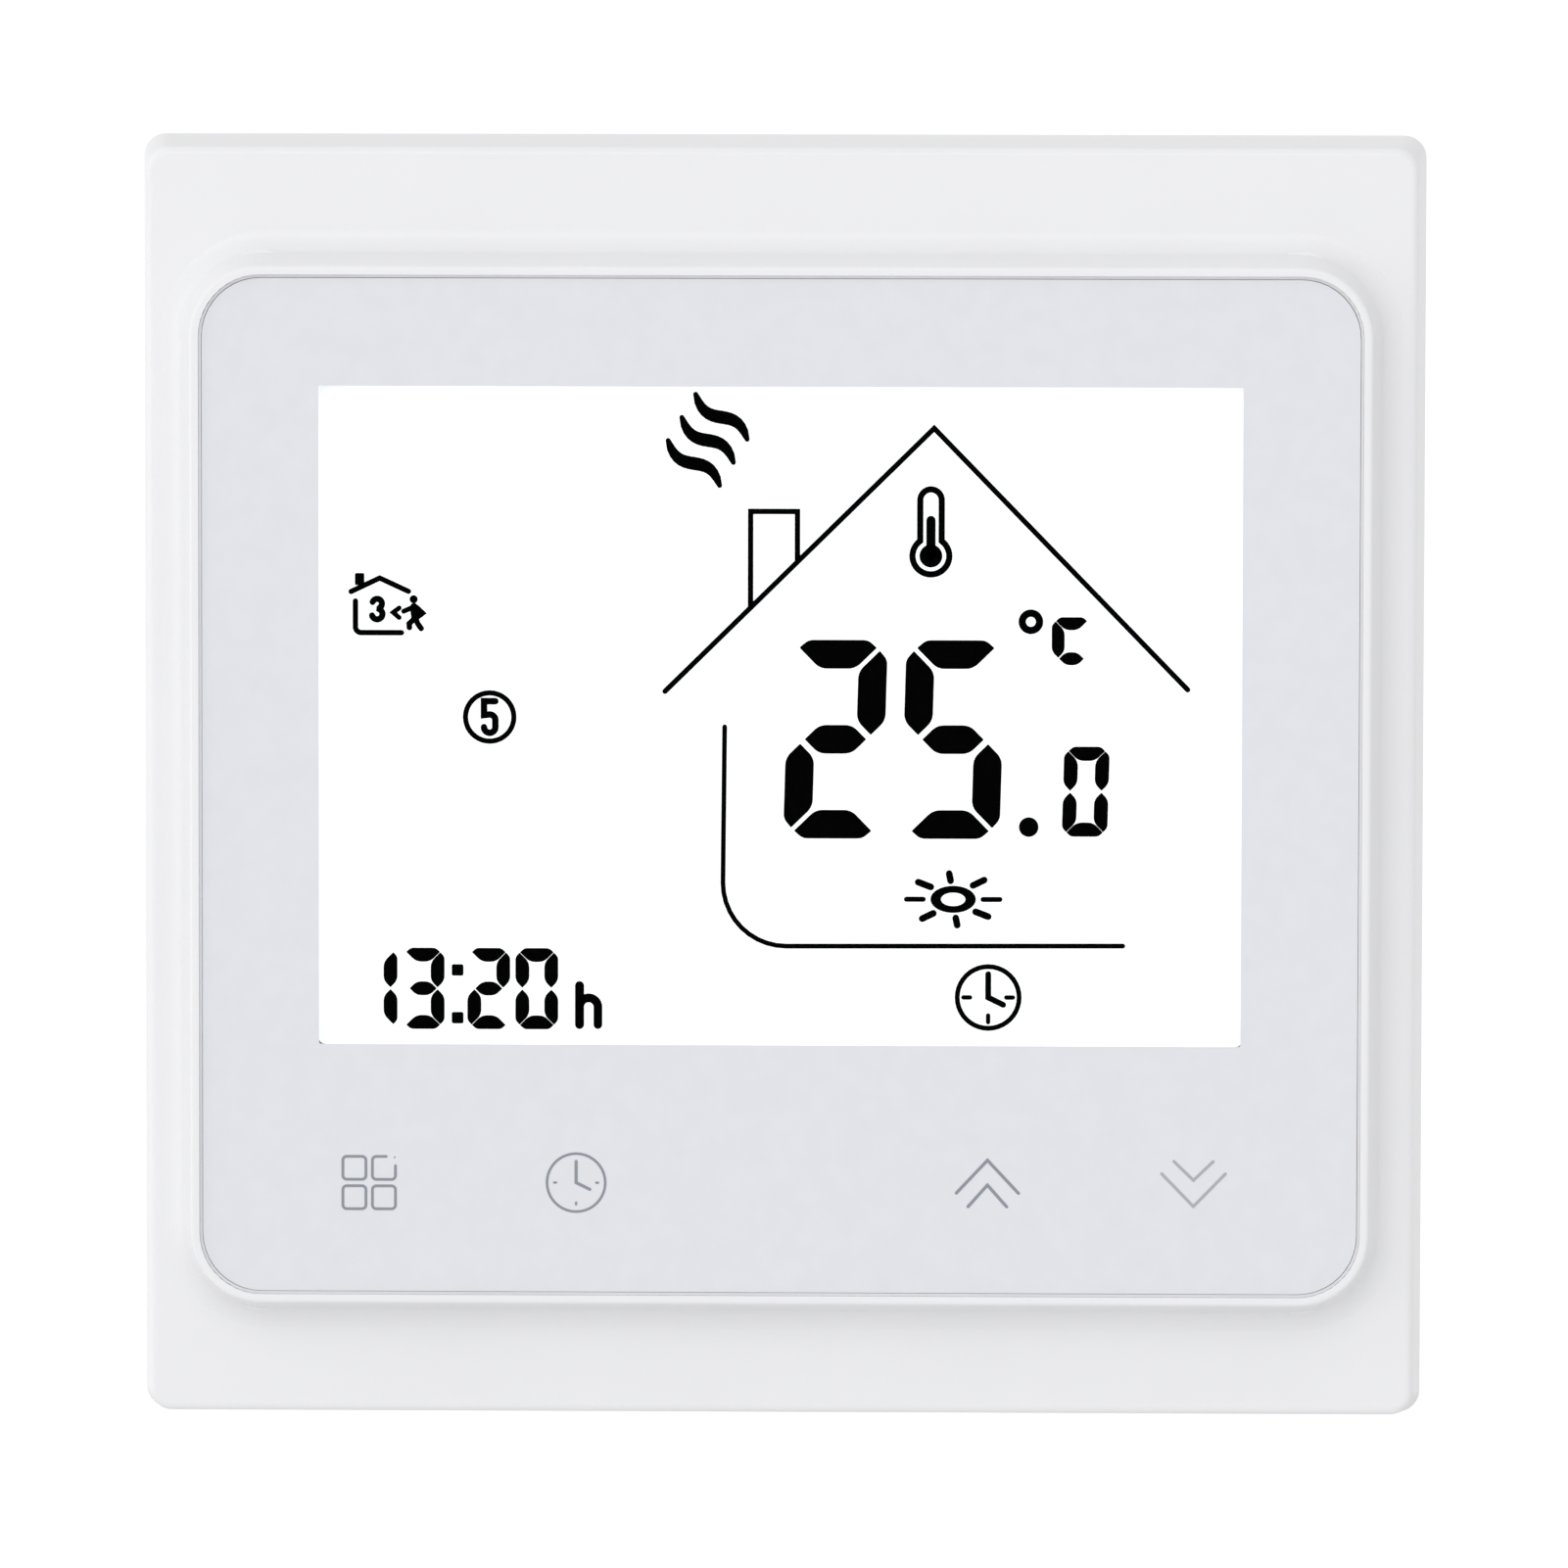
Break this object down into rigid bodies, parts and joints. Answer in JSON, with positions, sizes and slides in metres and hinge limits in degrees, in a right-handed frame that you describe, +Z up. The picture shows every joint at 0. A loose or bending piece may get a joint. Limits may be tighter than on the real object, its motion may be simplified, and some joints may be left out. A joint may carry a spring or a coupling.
{
  "type": "wall thermostat",
  "caption": "Square flush-mounting room thermostat with a raised glass touch screen, a lit segment display and a rear box with screw terminals.",
  "frame": {"origin": "centre of the fixing slots, on the wall plane, which is the bracket's rear face", "axes": "+X right, +Y into the wall, +Z up; the screen faces -Y"},
  "size_m": [0.086, 0.0415, 0.086],
  "materials": {
    "white_shell": "fine satin moulded plastic",
    "screen_glass": "clear, polished",
    "gasket_foam": "adhesive foam",
    "polariser": "film",
    "display_glass": "clear",
    "white_film": "milky film",
    "clear_acrylic": "clear, polished",
    "white_frame": "moulded",
    "led_ceramic": "lamp package",
    "control_solder_mask": "green solder mask on laminate",
    "power_solder_mask": "green solder mask on laminate",
    "tinned_metal": "tinned",
    "gold_plate": "gold-plated",
    "spring_steel": "bright wire",
    "black_epoxy": "moulded epoxy",
    "metal_can": "stamped lid",
    "cell_steel": "nickel-plated",
    "sensor_glaze": "resin bead on tinned leads",
    "black_nylon": "moulded",
    "zinc_screw": "zinc-plated",
    "galvanised_steel": "galvanised sheet",
    "grey_box": "moulded, lightly textured",
    "lid_plastic": "moulded",
    "relay_cover": "moulded",
    "relay_moulding": "moulded",
    "copper_coil": "enamelled copper wire",
    "magnet_steel": "plated soft iron",
    "contact_alloy": "copper alloy",
    "ferrite": "sintered",
    "bobbin_plastic": "moulded",
    "winding_tape": "yellow tape",
    "capacitor_sleeve": "sleeved aluminium can",
    "choke_ferrite": "sleeved drum",
    "fuse_body": "moulded",
    "film_capacitor": "moulded box",
    "varistor_coat": "dipped resin",
    "terminal_plastic": "moulded",
    "terminal_screw_steel": "zinc-plated",
    "clamp_steel": "plated"
  },
  "bodies": {
    "base": {"mounting_bracket": "galvanised_steel", "rear_box": "grey_box", "box_lid": "lid_plastic", "box_screws": "zinc_screw", "power_board": "power_solder_mask", "power_board_screws": "zinc_screw", "link_socket": "black_nylon", "relay_case": "relay_cover", "relay_base": "relay_moulding", "relay_coil": "copper_coil", "relay_yoke": "magnet_steel", "relay_contacts": "contact_alloy", "transformer_core": "ferrite", "transformer_bobbin": "bobbin_plastic", "transformer_winding": "winding_tape", "input_capacitor": "capacitor_sleeve", "output_capacitor": "capacitor_sleeve", "choke": "choke_ferrite", "fuse": "fuse_body", "x_capacitor": "film_capacitor", "varistor": "varistor_coat", "bridge_rectifier": "black_epoxy", "terminal_housing": "terminal_plastic", "terminal_contacts": "tinned_metal"},
    "front_panel": {"front_cover": "white_shell", "touch_glass": "screen_glass", "glass_gasket": "gasket_foam", "display_front_polariser": "polariser", "display_panel": "display_glass", "display_rear_polariser": "polariser", "diffuser_sheet": "white_film", "light_guide": "clear_acrylic", "reflector_sheet": "white_film", "backlight_frame": "white_frame", "backlight_leds": "led_ceramic", "display_pins": "tinned_metal", "control_board": "control_solder_mask", "touch_springs": "spring_steel", "key_leds": "led_ceramic", "microcontroller": "black_epoxy", "quartz_crystal": "metal_can", "backup_cell": "cell_steel", "temperature_sensor": "sensor_glaze", "link_header": "black_nylon", "link_header_pins": "gold_plate", "control_board_screws": "zinc_screw"},
    "relay_armature": {"relay_armature": "magnet_steel"},
    "terminal_screw_1": {"terminal_screw_1": "terminal_screw_steel"},
    "terminal_clamp_1": {"terminal_clamp_1": "clamp_steel"},
    "terminal_screw_2": {"terminal_screw_2": "terminal_screw_steel"},
    "terminal_clamp_2": {"terminal_clamp_2": "clamp_steel"},
    "terminal_screw_3": {"terminal_screw_3": "terminal_screw_steel"},
    "terminal_clamp_3": {"terminal_clamp_3": "clamp_steel"},
    "terminal_screw_4": {"terminal_screw_4": "terminal_screw_steel"},
    "terminal_clamp_4": {"terminal_clamp_4": "clamp_steel"},
    "terminal_screw_5": {"terminal_screw_5": "terminal_screw_steel"},
    "terminal_clamp_5": {"terminal_clamp_5": "clamp_steel"},
    "terminal_screw_6": {"terminal_screw_6": "terminal_screw_steel"},
    "terminal_clamp_6": {"terminal_clamp_6": "clamp_steel"}
  },
  "joints": [
    {"name": "front_pull_off", "type": "slide", "parent": "base", "child": "front_panel", "axis": [0, -1, 0], "range_m": [0, 0.025]},
    {"name": "relay_armature_rock", "type": "hinge", "parent": "base", "child": "relay_armature", "pos_m": [-0.00935, 0.01395, -0.0039], "axis": [0, 0, 1], "range_deg": [0, 2.5], "stiffness_Nm_per_rad": 0.002, "springref_deg": -1.15},
    {"name": "terminal_screw_1_turn", "type": "hinge", "parent": "base", "child": "terminal_screw_1", "pos_m": [-0.0127, 0.013, -0.01865], "axis": [0, -1, 0], "range_deg": [0, 1440]},
    {"name": "terminal_clamp_1_rise", "type": "slide", "parent": "base", "child": "terminal_clamp_1", "axis": [0, 1, 0], "range_m": [0, 0.002]},
    {"name": "terminal_screw_2_turn", "type": "hinge", "parent": "base", "child": "terminal_screw_2", "pos_m": [-0.00762, 0.013, -0.01865], "axis": [0, -1, 0], "range_deg": [0, 1440]},
    {"name": "terminal_clamp_2_rise", "type": "slide", "parent": "base", "child": "terminal_clamp_2", "axis": [0, 1, 0], "range_m": [0, 0.002]},
    {"name": "terminal_screw_3_turn", "type": "hinge", "parent": "base", "child": "terminal_screw_3", "pos_m": [-0.00254, 0.013, -0.01865], "axis": [0, -1, 0], "range_deg": [0, 1440]},
    {"name": "terminal_clamp_3_rise", "type": "slide", "parent": "base", "child": "terminal_clamp_3", "axis": [0, 1, 0], "range_m": [0, 0.002]},
    {"name": "terminal_screw_4_turn", "type": "hinge", "parent": "base", "child": "terminal_screw_4", "pos_m": [0.00254, 0.013, -0.01865], "axis": [0, -1, 0], "range_deg": [0, 1440]},
    {"name": "terminal_clamp_4_rise", "type": "slide", "parent": "base", "child": "terminal_clamp_4", "axis": [0, 1, 0], "range_m": [0, 0.002]},
    {"name": "terminal_screw_5_turn", "type": "hinge", "parent": "base", "child": "terminal_screw_5", "pos_m": [0.00762, 0.013, -0.01865], "axis": [0, -1, 0], "range_deg": [0, 1440]},
    {"name": "terminal_clamp_5_rise", "type": "slide", "parent": "base", "child": "terminal_clamp_5", "axis": [0, 1, 0], "range_m": [0, 0.002]},
    {"name": "terminal_screw_6_turn", "type": "hinge", "parent": "base", "child": "terminal_screw_6", "pos_m": [0.0127, 0.013, -0.01865], "axis": [0, -1, 0], "range_deg": [0, 1440]},
    {"name": "terminal_clamp_6_rise", "type": "slide", "parent": "base", "child": "terminal_clamp_6", "axis": [0, 1, 0], "range_m": [0, 0.002]}
  ],
  "couplings": [
    {"joint": "terminal_screw_1_turn", "follows": "terminal_clamp_1_rise", "rad_per_m": 12566},
    {"joint": "terminal_screw_2_turn", "follows": "terminal_clamp_2_rise", "rad_per_m": 12566},
    {"joint": "terminal_screw_3_turn", "follows": "terminal_clamp_3_rise", "rad_per_m": 12566},
    {"joint": "terminal_screw_4_turn", "follows": "terminal_clamp_4_rise", "rad_per_m": 12566},
    {"joint": "terminal_screw_5_turn", "follows": "terminal_clamp_5_rise", "rad_per_m": 12566},
    {"joint": "terminal_screw_6_turn", "follows": "terminal_clamp_6_rise", "rad_per_m": 12566}
  ]
}
